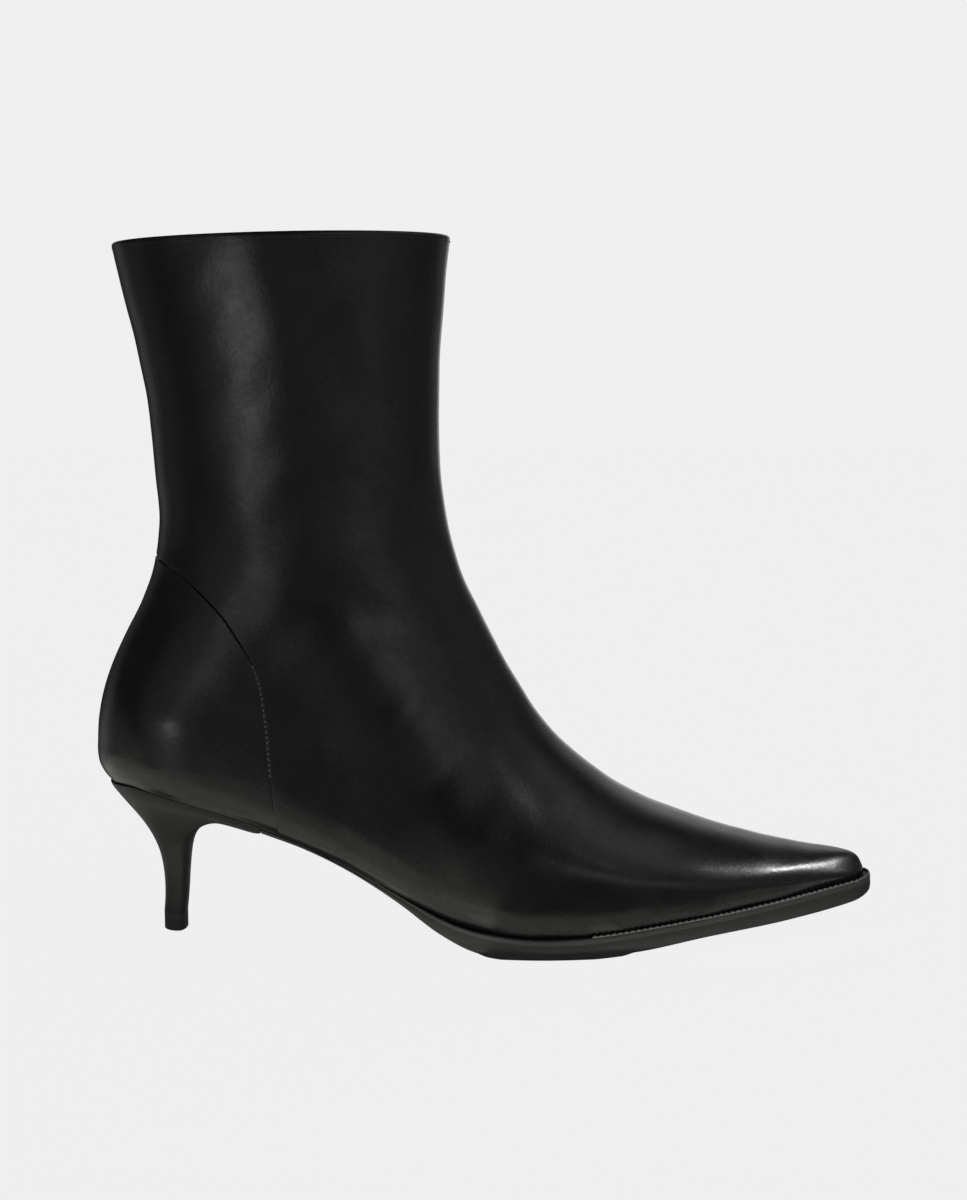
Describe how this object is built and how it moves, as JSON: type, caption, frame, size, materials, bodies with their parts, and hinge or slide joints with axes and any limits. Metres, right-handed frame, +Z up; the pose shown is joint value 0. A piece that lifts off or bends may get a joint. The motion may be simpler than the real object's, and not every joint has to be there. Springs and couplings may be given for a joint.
{
  "type": "ankle boot",
  "caption": "Pointed ankle boot for the right foot: smooth hollow leather upper with an open collar, heel counter, welted sole with a tread pad and a slim low heel.",
  "frame": {"origin": "on the floor under the middle of the boot's box", "axes": "+X from the heel to the toe, +Y to the inner side of the foot, +Z up the shaft"},
  "size_m": [0.2672, 0.0809, 0.2371],
  "materials": {
    "upper_leather": "smooth, low sheen",
    "counter_leather": "smooth, low sheen",
    "sock": "matte",
    "welt": "satin",
    "outsole": "satin",
    "tread": "matte",
    "heel": "satin",
    "top_lift": "matte"
  },
  "bodies": {
    "root": {"upper": "upper_leather", "heel_counter": "counter_leather", "insole": "sock", "welt": "welt", "outsole": "outsole", "tread_pad": "tread", "heel": "heel", "top_lift": "top_lift"}
  },
  "joints": []
}
